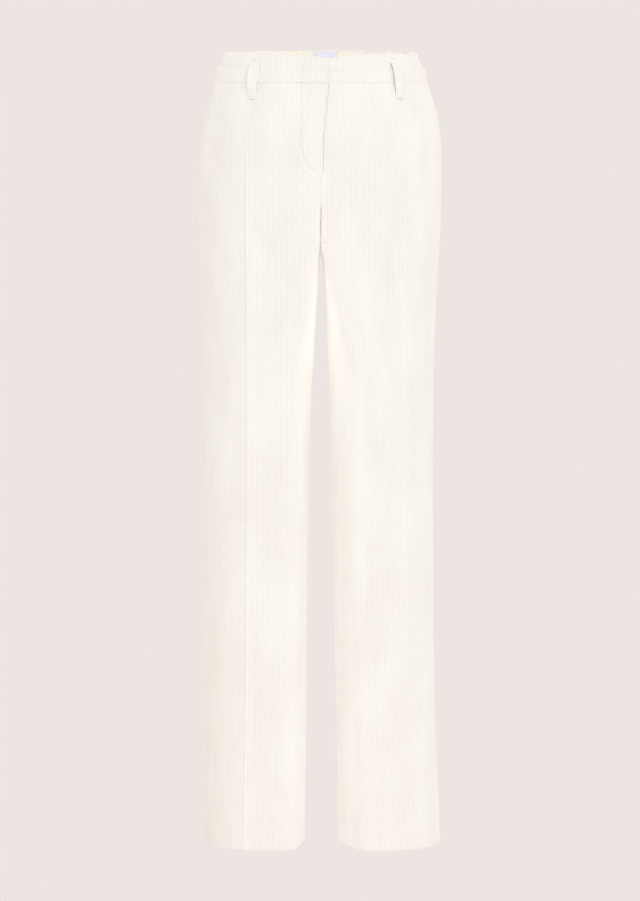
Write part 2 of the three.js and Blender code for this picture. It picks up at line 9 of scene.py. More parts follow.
import bpy
import numpy as np
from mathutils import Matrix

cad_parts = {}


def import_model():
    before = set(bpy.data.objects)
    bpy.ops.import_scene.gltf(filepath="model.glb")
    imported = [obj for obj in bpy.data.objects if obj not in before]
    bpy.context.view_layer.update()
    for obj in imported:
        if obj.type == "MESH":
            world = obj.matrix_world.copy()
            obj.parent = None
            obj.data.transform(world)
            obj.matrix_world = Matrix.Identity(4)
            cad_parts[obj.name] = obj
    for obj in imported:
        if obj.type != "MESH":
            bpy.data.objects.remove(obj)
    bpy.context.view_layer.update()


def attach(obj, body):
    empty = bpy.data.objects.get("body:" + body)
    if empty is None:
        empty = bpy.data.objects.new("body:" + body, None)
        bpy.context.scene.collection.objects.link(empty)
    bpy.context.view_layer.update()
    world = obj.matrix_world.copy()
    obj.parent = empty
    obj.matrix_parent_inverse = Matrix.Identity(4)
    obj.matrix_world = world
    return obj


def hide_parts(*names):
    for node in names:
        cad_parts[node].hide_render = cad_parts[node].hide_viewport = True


METRES = 0.001

# Cloth
WALL = 1.8
BAND_WALL = 2.8
BAND_PROUD = 0.6
HEM_DEPTH = 38
HEM_WALL = 3.4
SEAM_GAP = 0.3
SEWN_GAP = 0.05  # cloth drawn together by its seams
WALE = 3.2  # one rib of the corduroy and its groove: 8 ribs to the inch
WALE_RISE = 0.6

# Heights, measured at the side seams
WAIST_TOP = 20
WAIST_SEAM = -19
WAIST_DIP = 4.5  # the top edge is lower in the middle of the front
CROTCH = -257
HEM = -1065
FRONT_SPLIT = -193
SLIT_TOP = -211  # from here to the crotch the two halves lie face to face
SLIT_EASE = 0.8
SLIT_CALM = 12

# Fly
FLY_WIDTH = 40
FLY_LIFT = 1.35
FLY_LAP = 12
FLY_END = -166
FLY_NARROWS = -145
TAB_LIFT = 1.85
TAB_RAMP = 34
TAB_LAP = 30
UNDER_TAB = 4  # the left end lies lowest as far as this from the middle
TAB_SLIT = 32.8  # the slit that the inner hook is sewn through, from the tab's end
STITCH_LINE = 34.8  # from the fly's edge to its stitched line
STITCH_TAPER = 5.5
STITCH_BEND = -109  # here the line starts to curve to the edge
STITCH_LOW = -160
STITCH_END = 3  # where it ends, from the fly's edge

# Pockets
POCKET_END = -166
FACING_TUCK = 8
FACING_WALL = 1.5
FACING_GAP = 0.8

# Belt loops
LOOP_WIDTH = 11.5
LOOP_WALL = 1.6
LOOP_STAND = 5.6
LOOP_TOP = 15
LOOP_END = -44

# Label
LABEL_LEFT = 24
LABEL_RIGHT = -9
LABEL_TOP = 19.5
LABEL_END = -6
LABEL_WALL = 1

# Pressed creases
CREASE_RISE = 3
CREASE_REACH = 14
CREASE_HOLLOW = 3.4
CREASE_TOP = -50
CREASE_FULL = -230

SIDE_ANGLE = 97
TWIST_DONE = -450

# The camera that took the photograph, in metres, with its lens in millimetres
CAMERA_PLACE = (-0.0007, -3.2, -0.528)
CAMERA_LENS = 92.8

# Small lamps, in metres: two in the waist's hollow, and two beside the fork of each leg
WAIST_LAMP_ENERGY = 0.064
WAIST_LAMP_SIDE = 0.06
WAIST_LAMP_HEIGHT = -0.03
WAIST_LAMP_RADIUS = 0.02
FORK_LAMPS = ((" fork", 0.016, -0.31), (" under the fork", 0.018, -0.39))
FORK_LAMP_SIDE = -0.05
FORK_LAMP_FORWARD = -0.04
FORK_LAMP_RADIUS = 0.01
FLOOR_HEIGHT = -1.35


def table(columns, *rows):
    """A short table as one array for each named column."""
    return dict(zip(columns.split(), np.array(rows, float).T))


# Sections all round, a row for each height. tilt and bow raise the cloth with its distance behind
# the middle, right and left are how wide each half is, and front and back are its ends in Y.
OUTLINE = table(
    "height tilt bow right left front back",
    (20, 0.199, 0.00005, 133, 133, -88, 90),
    (-19, 0.181, 0, 144.5, 146, -104, 108),
    (-64, 0.12, 0, 156.4, 159, -111, 119),
    (-110, 0.04, 0, 164.3, 165.2, -113, 127),
    (-165, 0, 0, 167.8, 166.5, -110, 130),
    (-190, 0, 0, 167.8, 166, -107.6, 127.7),
    (-225, 0, 0, 167.4, 165.2, -104, 124),
    (-257, 0, 0, 166.4, 163.4, -101, 117),
    (-321, 0, 0, 163.3, 159.6, -95, 105),
    (-383, 0, 0, 160.5, 157.8, -91, 97),
    (-459, 0, 0, 159, 156.5, -88, 90),
    (-597, 0, 0, 159, 156, -85, 82),
    (-735, 0, 0, 159.3, 156.6, -83, 80),
    (-872, 0, 0, 159.6, 158.6, -82, 79),
    (-1000, 0, 0, 160.6, 163.2, -81, 79),
    (-1065, 0, 0, 161, 165.6, -80, 79),
)

# How round the sections are: 2 is an ellipse, more is squarer. The back has one power, and the
# front has one on each side of its foremost line, since it is pressed flat inside its crease.
# lean is how far out that line is, from 0 in the middle to 1 halfway out.
ROUNDNESS = table(
    "height back_power inner_power outer_power lean",
    (20, 2.35, 2.35, 2.35, 0),
    (-19, 2.45, 2.45, 2.45, 0),
    (-64, 2.6, 2.6, 2.6, 0.05),
    (-110, 2.7, 2.7, 2.7, 0.2),
    (-165, 2.6, 4, 2.6, 0.5),
    (-190, 2.5, 9, 2.45, 0.66),
    (-225, 2.35, 12, 2.2, 0.86),
    (-257, 2.2, 14, 2, 1),
    (-321, 2.1, 12, 1.85, 1),
    (-383, 2.1, 9, 1.8, 1),
    (-459, 2.1, 7, 1.8, 1),
    (-597, 2.1, 6, 1.8, 1),
    (-1065, 2.1, 6, 1.8, 1),
)

# How far in each half's section reaches: past the middle above the crotch, short of it below.
# Above the hips each half's section is the whole waist's.
INNER = table(
    "height front_right front_left back_right back_left",
    (20, -133, -133, -133, -133),
    (-19, -145.2, -145.2, -145.2, -145.2),
    (-64, -157.7, -157.7, -157.7, -157.7),
    (-110, -164.8, -164.8, -164.8, -164.8),
    (-140, -158, -158, -162, -162),
    (-165, -138, -138, -148, -148),
    (-180, -100, -100, -130, -130),
    (-190, -50, -50, -113, -113),
    (-200, -12, -12, -90, -90),
    (-212, -4, -4, -64, -64),
    (-225, -1.6, -1.6, -37, -37),
    (-240, -0.7, -0.7, -14, -14),
    (-250, -0.3, -0.3, -3.5, -3.5),
    (-257, 0.4, 0.4, 0.4, 0.4),
    (-264, 1.7, 2.8, 1.7, 2.8),
    (-282, 2.8, 4.8, 2.8, 4.8),
    (-321, 4.6, 7.6, 4.6, 7.6),
    (-383, 8.8, 11, 8.8, 11),
    (-459, 13.2, 14.2, 13.2, 14.2),
    (-597, 16.6, 17, 16.6, 17),
    (-735, 18.2, 19.8, 18.2, 19.8),
    (-872, 19.6, 22.4, 19.6, 22.4),
    (-1000, 21.4, 25.2, 21.4, 25.2),
    (-1065, 22.2, 26.4, 22.2, 26.4),
)

# Where the seams and creases run, as distances from the middle
LINES = table(
    "height opening seat right left right_back left_back",
    (20, 10, 7, 93, 104, 74, 70),
    (-19, 9.4, 7, 96, 108, 77, 73),
    (-64, 6, 7, 98, 111, 79, 75),
    (-110, 3, 6, 99, 113, 80, 74),
    (-150, 2.4, 4.4, 99, 113.2, 79, 71),
    (-200, 1, 2.8, 99, 113.4, 77.5, 68),
    (-225, 0.6, 2, 99, 113.5, 77, 66),
    (-257, 0, 0, 98.5, 113.6, 75, 62),
    (-321, 0, 0, 98.3, 113.7, 72, 56),
    (-459, 0, 0, 98.3, 114, 75, 58),
    (-597, 0, 0, 98.6, 114, 77, 61),
    (-872, 0, 0, 100, 117, 79, 65),
    (-1065, 0, 0, 103, 122.5, 80, 70.5),
)

# The pocket mouth, as a distance in front of the side seam
MOUTH = table("height forward", (-19, 30), (-64, 31), (-110, 29), (-140, 18), (POCKET_END, 0))

# The two halves: side is the sign of X, turn is how far the leg is turned out, and hollow is how
# deep the cloth lies beside its creases
RIGHT = {"name": "right", "side": -1, "turn": math.radians(7.5), "hollow": 1.3}
LEFT = {"name": "left", "side": 1, "turn": math.radians(18.5), "hollow": 0.5}


# Curves


def smooth_curve(places, values, at):
    """A smooth curve through a few places and values, which never overshoots them.

    places rise. values may have a row of their own for each row of at."""
    values = np.atleast_2d(values)
    spans = np.diff(places)
    slopes = np.diff(values, axis=1) / spans
    before = slopes[:, :-1]
    after = slopes[:, 1:]
    total = np.where(before * after > 0, before + after, 1)
    inside = np.where(before * after > 0, 2 * before * after / total, 0)
    tangents = np.concatenate([slopes[:, :1], inside, slopes[:, -1:]], axis=1)
    at = np.atleast_2d(at)
    index = np.clip(np.searchsorted(places, at, side="right") - 1, 0, len(places) - 2)
    rows = np.arange(len(values))[:, None] if len(values) > 1 else 0
    held = np.clip(at, places[0], places[-1])
    u = (held - places[index]) / spans[index]
    start = values[rows, index]
    end = values[rows, index + 1]
    leaving = u * (1 - u) ** 2 * spans[index] * tangents[rows, index]
    arriving = u**2 * (1 - u) * spans[index] * tangents[rows, index + 1]
    curve = start + (end - start) * u * u * (3 - 2 * u) + leaving - arriving
    past = np.where(at < places[0], tangents[rows, 0], tangents[rows, -1])
    return curve + past * (at - held)


def column(rows, name, height):
    """One column of a table at any heights, held at the table's ends."""
    low = rows["height"][-1]
    high = rows["height"][0]
    at = np.clip(np.asarray(height, float), low, high)
    shape = at.shape
    return smooth_curve(-rows["height"], rows[name], -at.reshape(1, -1)).reshape(shape)


def smooth_step(start, end, at):
    u = np.clip((at - start) / (end - start), 0, 1)
    return u * u * (3 - 2 * u)


def bell(at, middle, width):
    """1 at the middle, dying out smoothly over a width on each side."""
    return np.exp(-(((at - middle) / width) ** 2))


# The form of the cloth


def section_at(half, heights):
    """Sections of one half, an array of a column for each value, a row for each height."""
    height = np.asarray(heights, float)[:, None]
    front = column(OUTLINE, "front", height)
    back = column(OUTLINE, "back", height)
    section = {
        "height": height,
        "side": half["side"],
        "outer": column(OUTLINE, half["name"], height),
        "inner_front": column(INNER, "front_" + half["name"], height),
        "inner_back": column(INNER, "back_" + half["name"], height),
        "middle": (front + back) / 2,
        "deep": (back - front) / 2,
        "back_power": column(ROUNDNESS, "back_power", height),
        "inner_power": column(ROUNDNESS, "inner_power", height),
        "outer_power": column(ROUNDNESS, "outer_power", height),
        "tilt": column(OUTLINE, "tilt", height),
        "bow": column(OUTLINE, "bow", height),
        "lean": column(ROUNDNESS, "lean", height),
        "turn": half["turn"] * smooth_step(CROTCH, TWIST_DONE, height),
    }
    section["angles"] = seam_angles(half, section)
    return section


def section_point(section, angle):
    """x outward from the middle, and y, at an angle from the front round the outer side."""
    cosine = np.cos(angle)
    sine = np.sin(angle)
    front_power = np.where(sine < 0, section["inner_power"], section["outer_power"])
    power = np.where(cosine < 0, section["back_power"], front_power)
    turn = section["turn"]
    deep = section["deep"]
    inner = np.where(cosine > 0, section["inner_front"], section["inner_back"])
    middle = (section["outer"] + inner) / 2
    reach = (section["outer"] - inner) / 2
    wide = np.sqrt(reach**2 - (deep * np.sin(turn)) ** 2) / np.cos(turn)
    radius = (np.abs(cosine) ** power + np.abs(sine) ** power) ** (-1 / power)
    foremost = section["lean"] * (section["outer"] + np.maximum(0, inner)) / 2
    shift = np.where(cosine > 0, foremost - middle, 0)
    across = (wide - np.sign(sine) * shift) * sine * radius
    forward = deep * cosine * radius
    x = middle + shift + across * np.cos(turn) + forward * np.sin(turn)
    y = section["middle"] + across * np.sin(turn) - forward * np.cos(turn)
    return x, y


def angle_at_x(section, x, inner_angle, outer_angle):
    """The angle where each section crosses x, between an inner and an outer angle."""
    low = np.full_like(section["outer"], inner_angle)
    high = np.full_like(section["outer"], outer_angle)
    short = section_point(section, low)[0] >= x
    for _ in range(40):
        middle = (low + high) / 2
        inside = section_point(section, middle)[0] < x
        low = np.where(inside, middle, low)
        high = np.where(inside, high, middle)
    return np.where(short, inner_angle, low)


def seam_angles(half, section):
    """Angles of the front edge, front crease, side seam, back crease and back edge."""
    height = section["height"]
    quarter = math.pi / 2
    side_angle = SIDE_ANGLE + (90 - SIDE_ANGLE) * smooth_step(CROTCH, TWIST_DONE, height)

    def front(x):
        return angle_at_x(section, x, -quarter + 1e-6, quarter)

    def back(x):
        return angle_at_x(section, x, 3 * quarter, quarter + 1e-6)

    return np.concatenate(
        [
            front(half["side"] * column(LINES, "opening", height)),
            front(column(LINES, half["name"], height)),
            np.radians(side_angle),
            back(column(LINES, half["name"] + "_back", height)),
            back(half["side"] * column(LINES, "seat", height)),
        ],
        axis=1,
    )


ROUND_KNOTS = np.array([0, 0.25, 0.5, 0.75, 1])
CREASE_FRONT = 0.25
SIDE_SEAM = 0.5
CREASE_BACK = 0.75


def form_points(section, rounds):
    """The cloth's middle form, before folds and laps."""
    x, y = section_point(section, smooth_curve(ROUND_KNOTS, section["angles"], rounds))
    x = section["side"] * x
    z = section["height"] + section["tilt"] * y + section["bow"] * y * y
    dip = WAIST_DIP * smooth_step(WAIST_SEAM, WAIST_TOP, section["height"])
    z = z - dip * bell(x, 8, 34) * (y < 0)
    return np.stack([x, y, z], axis=2)


class Cloth:
    """The cloth of one half along a set of heights, with distances measured round it."""

    STEPS = 420

    def __init__(self, half, heights):
        self.half = half
        self.heights = np.asarray(heights, float)
        self.height = self.heights[:, None]
        self.here = section_at(half, self.heights)
        self.above = section_at(half, self.heights + 1.5)
        self.below = section_at(half, self.heights - 1.5)
        self.ring = np.linspace(-0.12, 1.1, self.STEPS)
        ring = np.broadcast_to(self.ring, (len(self.heights), self.STEPS))
        gaps = np.linalg.norm(np.diff(form_points(self.here, ring), axis=1), axis=2)
        travelled = np.concatenate([np.zeros((len(gaps), 1)), np.cumsum(gaps, axis=1)], axis=1)
        zero = np.array([np.interp(0, self.ring, row) for row in travelled])
        self.travelled = travelled - zero[:, None]

    def distance(self, round_place):
        """How far along the cloth a place round it is, for each row."""
        return np.array([[np.interp(round_place, self.ring, row)] for row in self.travelled])

    def rounds(self, distances):
        rows = [np.interp(d, row, self.ring) for d, row in zip(distances, self.travelled)]
        return np.array(rows)

    def points(self, distances, out=0.0):
        """Points at distances along each row, moved out of the cloth."""
        rounds = self.rounds(distances)
        along = form_points(self.here, rounds + 0.004) - form_points(self.here, rounds - 0.004)
        up = form_points(self.above, rounds) - form_points(self.below, rounds)
        normal = np.cross(along, up) * self.half["side"]
        normal /= np.linalg.norm(normal, axis=2, keepdims=True)
        out = np.broadcast_to(out, rounds.shape)
        return form_points(self.here, rounds) + normal * out[:, :, None]

    def distance_to_x(self, x, back):
        """How far along each row its x is, on the front or on the back."""
        rounds = np.linspace(0.6, 0.98, 300) if back else np.linspace(0.02, 0.4, 300)
        wide = np.broadcast_to(rounds, (len(self.heights), len(rounds)))
        found = np.abs(form_points(self.here, wide)[:, :, 0])
        places = []
        for row, want, travelled in zip(found, np.abs(x), self.travelled):
            nearest = rounds[np.argmin(np.abs(row - want))]
            places.append([np.interp(nearest, self.ring, travelled)])
        return np.array(places)


# Relief


def wale_relief(across):
    """Rounded ribs with narrow grooves between them."""
    place = across / WALE
    part = place - np.floor(place)
    return WALE_RISE * (0.5 - np.abs(2 * part - 1) ** 2.6)


def crease_relief(cloth, distance):
    """A pressed fold, with a narrow hollow along its outer side."""
    pressed = smooth_step(CREASE_TOP, CREASE_FULL, cloth.height)
    relief = 0
    for crease, outward in ((CREASE_FRONT, 1), (CREASE_BACK, -1)):
        away = (distance - cloth.distance(crease)) * outward
        fold = CREASE_RISE * np.clip(1 - np.abs(away) / CREASE_REACH, 0, 1) ** 2
        deep = cloth.half["hollow"] * (0.35 + 0.65 * smooth_step(-900, -600, cloth.height))
        hollow = deep * bell(away, CREASE_HOLLOW, CREASE_HOLLOW * 0.7)
        relief = relief + pressed * (fold - hollow)
    return relief


def fly_relief(cloth, distance):
    """The right front swells over the fly, and the left front sinks under it."""
    strength = FLY_LIFT * smooth_step(FLY_END - 14, STITCH_LOW + 4, cloth.height)
    near = 8 if cloth.half is RIGHT else 10
    share = 1 - smooth_step(near, FLY_WIDTH - near / 2, distance)
    if cloth.half is RIGHT:
        return strength * share
    return -strength * (share + 0.9 * bell(distance, 0.8, 1.8))


def stitch_distance(height):
    """How far the stitched line is from the fly's edge: less further down."""
    return STITCH_LINE - STITCH_TAPER * smooth_step(WAIST_SEAM, STITCH_BEND, height)


def stitch_groove(cloth, distance):
    """The fly's stitched line pulls the cloth in: straight down, then round to the edge."""
    if cloth.half is not RIGHT:
        return 0
    wide = stitch_distance(cloth.height) - STITCH_END
    fall = np.clip((STITCH_BEND - cloth.height) / (STITCH_BEND - STITCH_LOW), 0, None)
    round_way = np.hypot((distance - STITCH_END) / wide, fall)
    away = (round_way - 1) * wide
    shown = cloth.height > STITCH_LOW - 4
    deep = 0.75 + 0.45 * smooth_step(STITCH_BEND, STITCH_LOW, cloth.height)
    return -deep * np.exp(-((away / 1.6) ** 2)) * shown


def seam_roll(distance, first, last, first_depth=0.8, last_depth=0.8):
    """Cloth turns in towards its seams."""
    near_first = np.clip(1 - (distance - first) / 2, 0, 1) ** 2
    near_last = np.clip(1 - (last - distance) / 2, 0, 1) ** 2
    return -first_depth * near_first - last_depth * near_last


def mouth_relief(cloth, distance, last):
    """The folded edge of the pocket mouth stands up, with its stitched line behind it."""
    strength = smooth_step(POCKET_END, POCKET_END + 20, cloth.height)
    away = last - distance
    return strength * (0.9 * bell(away, 2.2, 2) - 0.4 * bell(away, 6, 0.8))


def end_roll(height, end, depth=0.45, reach=2):
    return -depth * np.clip(1 - np.abs(height - end) / reach, 0, 1) ** 2


# Soft unevenness of worn and pressed cloth: height, distance from the crease, size down and
# across, and how far it stands out. The lists are for the front and the back of a leg.
SOFT_FRONT = table(
    "height across tall wide rise",
    (-120, -55, 60, 24, 0.5),
    (-205, -60, 26, 16, -0.7),
    (-245, -38, 22, 30, 0.6),
    (-300, 46, 90, 14, -0.5),
    (-420, -40, 120, 12, 0.5),
    (-520, 38, 90, 16, 0.6),
    (-600, 62, 60, 12, -0.6),
    (-690, -44, 110, 15, -0.5),
    (-800, 40, 120, 13, 0.5),
    (-905, -36, 80, 18, 0.5),
    (-985, 50, 60, 14, -0.4),
)
SOFT_BACK = table(
    "height across tall wide rise",
    (-150, 40, 50, 26, 0.7),
    (-215, 62, 24, 20, -1.0),
    (-262, 40, 18, 34, -0.9),
    (-300, 10, 20, 40, 0.8),
    (-470, -36, 110, 14, 0.5),
    (-580, 34, 60, 20, -0.8),
    (-625, -20, 26, 34, 0.6),
    (-655, 26, 20, 30, -0.7),
    (-780, -40, 110, 13, 0.5),
    (-930, 38, 90, 16, -0.5),
)


def soft_relief(rows, cloth, across):
    relief = np.zeros(np.broadcast(cloth.height, across).shape)
    for height, place, tall, wide, rise in zip(*(rows[k] for k in rows)):
        relief += rise * bell(cloth.height, height, tall) * bell(across, place, wide)
    return relief


def hem_relief(cloth):
    """A faint line where the turned-up hem is caught down inside."""
    return -0.3 * bell(cloth.height, HEM + HEM_DEPTH, 2.0)


def band_relief(cloth, distance):
    """The tab's lap, and a soft fold along the band with the cloth full below it."""
    right = cloth.half is RIGHT
    start = TAB_LAP if right else UNDER_TAB
    end = TAB_LAP + TAB_RAMP if right else TAB_RAMP
    lap = (1 if right else -1) * TAB_LIFT * (1 - smooth_step(start, end, distance))
    sway = 1.6 * np.sin(distance / 27) + 0.9 * np.sin(distance / 11 + 1)
    strength = 0.75 + 0.25 * np.sin(distance / 43 + 2)
    trough = -1.7 * strength * bell(cloth.height, 3 + sway, 3.2)
    full = 1.5 * strength * bell(cloth.height, -6 + sway / 2, 4.5)
    near_side = bell(distance, cloth.distance(SIDE_SEAM) - 12, 32)
    trough = trough - 1.8 * near_side * bell(cloth.height, 12, 7)
    full = full + 1.2 * near_side * bell(cloth.height, -8, 6)
    if right:
        beside = bell(distance, TAB_SLIT, 1.0)
        within = smooth_step(-3.5, -1.5, cloth.height) * smooth_step(8, 6, cloth.height)
        lap = lap - 2.0 * beside * within
    top = end_roll(cloth.height, WAIST_TOP, 0.8, 3)
    low = end_roll(cloth.height, WAIST_SEAM, 0.4, 1.6)
    return BAND_PROUD + lap + trough + full + top + low


# Meshes


def piece(name, points, faces, uv, materials, inside=()):
    """A Blender mesh from points in millimetres. inside marks the faces with the second material."""
    used, index = np.unique(faces, return_inverse=True)
    faces = index.reshape(faces.shape)
    points = points[used] * METRES
    uv = uv[used]
    corners = points[faces]
    volume = np.einsum("ij,ij->", corners[:, 0], np.cross(corners[:, 1], corners[:, 2]))
    if volume < 0:
        faces = faces[:, ::-1]
    mesh = bpy.data.meshes.new(name)
    mesh.from_pydata(points.tolist(), [], faces.tolist())
    layer = mesh.uv_layers.new(name="cloth")
    layer.data.foreach_set("uv", uv[faces.ravel()].astype(np.float32).ravel())
    for material in materials:
        mesh.materials.append(material)
    if len(inside):
        mesh.polygons.foreach_set("material_index", np.asarray(inside, np.int32))
    mesh.polygons.foreach_set("use_smooth", np.ones(len(faces), bool))
    mesh.update()
    made = bpy.data.objects.new(name, mesh)
    bpy.context.collection.objects.link(made)
    bpy.ops.object.select_all(action="DESELECT")
    made.select_set(True)
    bpy.context.view_layer.objects.active = made
    bpy.ops.object.shade_smooth_by_angle(angle=math.radians(50))
    return made


def grid_faces(index):
    """Two triangles for each cell of a grid of point numbers."""
    a = index[:-1, :-1]
    b = index[1:, :-1]
    c = index[:-1, 1:]
    d = index[1:, 1:]
    first = np.stack([a, b, c], axis=2).reshape(-1, 3)
    second = np.stack([c, b, d], axis=2).reshape(-1, 3)
    return np.concatenate([first, second])


def length_shares(points):
    """How far along a line each of its points is, as a share of its length."""
    steps = np.linalg.norm(np.diff(points, axis=0), axis=1)
    return np.concatenate([[0], np.cumsum(steps)]) / steps.sum()


def bridge(outer, inner, points):
    """Triangles between two lines of points, joined by how far along them the points are."""
    outer_share = length_shares(points[outer])
    inner_share = length_shares(points[inner])
    faces = []
    i = 0
    j = 0
    last_outer = len(outer) - 1
    last_inner = len(inner) - 1
    while i < last_outer or j < last_inner:
        ahead = i < last_outer and outer_share[i + 1] <= inner_share[min(j + 1, last_inner)]
        if j == last_inner or ahead:
            faces.append((outer[i], outer[i + 1], inner[j]))
            i += 1
        else:
            faces.append((outer[i], inner[j + 1], inner[j]))
            j += 1
    return np.array(faces)


def wall(name, outer, outer_uv, inner, inner_uv, materials, joined=None):
    """A closed wall from an outer and an inner grid. joined numbers outer points that coincide."""
    rows, columns = outer.shape[:2]
    outer_index = np.arange(rows * columns).reshape(rows, columns)
    if joined is not None:
        outer_index = np.take_along_axis(outer_index, joined, axis=1)
    inner_index = rows * columns + np.arange(rows * inner.shape[1]).reshape(rows, -1)
    outside = grid_faces(outer_index)
    inside = grid_faces(inner_index)[:, ::-1]
    rims = []
    for side, order in ((0, 1), (-1, -1)):
        edge = outer_index[:, side]
        back = inner_index[:, side]
        rims.append(np.stack([edge[1:], edge[:-1], back[:-1]], axis=1)[:, ::order])
        rims.append(np.stack([edge[1:], back[:-1], back[1:]], axis=1)[:, ::order])
    points = np.concatenate([outer.reshape(-1, 3), inner.reshape(-1, 3)])
    rims.append(bridge(outer_index[0], inner_index[0], points))
    rims.append(bridge(outer_index[-1], inner_index[-1], points)[:, ::-1])
    rims = np.concatenate(rims)
    faces = np.concatenate([outside, rims, inside])
    slots = np.concatenate([np.zeros(len(outside) + len(rims)), np.ones(len(inside))])
    whole = (faces != np.roll(faces, 1, axis=1)).all(axis=1)
    uv = np.concatenate([outer_uv.reshape(-1, 2), inner_uv.reshape(-1, 2)])
    return piece(name, points, faces[whole], uv, materials, slots[whole])


def cloth_uv(across, height):
    """Metres across the ribs and down them."""
    across, height = np.broadcast_arrays(across, height)
    return np.stack([across, height], axis=2) * METRES


WALE_STEPS = np.array([0, 0.1, 0.26, 0.5, 0.74, 0.9])


def ribbed_wall(
    name, cloth, first, last, zero, relief, depth, materials, inner_step=8, calm=False
):
    """A wall with ribs at a constant distance from a line, cut off at its first and last edges.

    Distances are along each row. zero is the line that the ribs follow. calm ribs flatten near
    the first edge between the fly and the crotch."""
    start = int(math.floor(((first - zero) / WALE).min()))
    end = int(math.ceil(((last - zero) / WALE).max()))
    rib_places = (np.arange(start, end + 1)[:, None] + WALE_STEPS).ravel() * WALE
    wanted = zero + rib_places[None, :]
    held = np.clip(wanted, first, last)
    columns = np.arange(len(rib_places))[None, :]
    before = (wanted <= first).sum(axis=1, keepdims=True)
    after = (wanted < last).sum(axis=1, keepdims=True)
    joined = np.clip(columns, np.maximum(before - 1, 0), after)
    across = held - zero
    ribs = wale_relief(across)
    if calm:
        near = smooth_step(0, SLIT_CALM, held - first)
        ribs = ribs * (1 + (near - 1) * in_slit(cloth.height))
    outer = cloth.points(held, relief(cloth, held, across) + ribs)
    share = np.linspace(0, 1, max(3, int((last - first).max() / inner_step)))[None, :]
    inner_places = first + (last - first) * share
    inner_across = inner_places - zero
    inner = cloth.points(inner_places, relief(cloth, inner_places, inner_across) - depth)
    return wall(
        name,
        outer,
        cloth_uv(across, cloth.height),
        inner,
        cloth_uv(inner_across, cloth.height),
        materials,
        joined,
    )


# Pieces


def panel_rows():
    """Close rows where the cloth bends, and even ones down the legs."""
    top = WAIST_SEAM - SEWN_GAP / 2
    near_top = [top, top - 1, top - 2.4]
    hips = np.arange(-26, -138, -7)
    fly_end = np.concatenate([np.arange(-138, -170, -2), np.arange(-170, -190, -5)])
    fork = np.arange(-190, -268, -4)
    legs = np.linspace(-270, HEM + HEM_DEPTH + 6, 92)
    hem = [HEM + HEM_DEPTH + k for k in (3, 1.5, 0, -1.5, -3)]
    low = np.linspace(HEM + HEM_DEPTH - 8, HEM + 5, 5)
    fold = [HEM + 2.4, HEM + 1, HEM]
    return np.concatenate([near_top, hips, fly_end, fork, legs, hem, low, fold])


def in_slit(height):
    """1 where the two halves lie face to face between the fly and the crotch, and 0 elsewhere."""
    below_fly = smooth_step(FRONT_SPLIT, SLIT_TOP, height)
    return below_fly * smooth_step(CROTCH - 0.3, CROTCH + 5, height)


def panel_depth(height):
    return np.where(height < HEM + HEM_DEPTH, HEM_WALL, WALL)


def mouth_forward(height):
    return np.where(height < POCKET_END, 0, column(MOUTH, "forward", height))


def panel(name, half, front, materials):
    cloth = Cloth(half, panel_rows())
    side = cloth.distance(SIDE_SEAM)
    gap = SEWN_GAP / 2
    if front:
        edge = gap + SLIT_EASE * in_slit(cloth.height)
        lap = edge - (FLY_LAP + edge) * smooth_step(FLY_END, FLY_NARROWS, cloth.height)
        first = edge if half is RIGHT else lap
        last = side - mouth_forward(cloth.height) - gap
        zero = cloth.distance(CREASE_FRONT)
    else:
        first = side + gap
        last = cloth.distance(1) - gap
        zero = cloth.distance(CREASE_BACK)
    soft = SOFT_FRONT if front else SOFT_BACK
    rolls = (0.35, 0.9) if front else (0.9, 1.2)
    inward = 1 if front else -1

    def relief(rows, distance, across):
        out = crease_relief(rows, distance) + hem_relief(rows)
        out = out + soft_relief(soft, rows, across * inward)
        out = out + seam_roll(distance, first, last, *rolls)
        out = out + end_roll(rows.height, WAIST_SEAM, 0.2, 1.5) + end_roll(rows.height, HEM)
        if front:
            out = out + fly_relief(rows, distance) + stitch_groove(rows, distance)
            out = out + mouth_relief(rows, distance, last)
        return out

    depth = panel_depth(cloth.height)
    made = ribbed_wall(
        name + "_cloth", cloth, first, last, zero, relief, depth, materials, calm=front
    )
    declare(made, name)
    return made


def declare(made, node):
    """The piece stands for its solid: it joins the root body, and the solid is hidden."""
    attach(made, "root")
    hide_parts(node)


def waistband(half, materials):
    heights = [WAIST_TOP, 19, 17.5, 15, 12, 9, 6, 4, 2, 0, -2.5, -5, -8, -11, -14, -16.5, -18]
    cloth = Cloth(half, heights + [WAIST_SEAM + SEWN_GAP / 2])
    last = cloth.distance(1) - SEWN_GAP / 2
    first = np.full_like(last, 0 if half is RIGHT else -TAB_LAP)

    def relief(rows, distance, across):
        return band_relief(rows, distance) + seam_roll(distance, first - 3, last)

    name = "waistband_" + half["name"]
    made = ribbed_wall(name + "_cloth", cloth, first, last, first, relief, BAND_WALL, materials)
    declare(made, name)


def pocket_facing(half, materials):
    top = WAIST_SEAM - SEAM_GAP / 2
    cloth = Cloth(half, np.concatenate([[top], np.arange(-26, -180, -7), [-180]]))
    last = cloth.distance(SIDE_SEAM) - SEAM_GAP / 2
    first = last - mouth_forward(cloth.height) - FACING_TUCK
    under = WALL + FACING_GAP - WALE_RISE / 2

    def relief(rows, distance, across):
        return np.full_like(distance, -under)

    name = "pocket_facing_" + half["name"]
    made = ribbed_wall(name + "_cloth", cloth, first, last, last, relief, FACING_WALL, materials, 6)
    declare(made, name)


LOOP_STAND_OFF = table(
    "share stand",
    (0, 0),
    (0.12, 0),
    (0.22, 0.75),
    (0.35, 1),
    (0.6, 1),
    (0.76, 0.75),
    (0.87, 0),
    (1, 0),
)

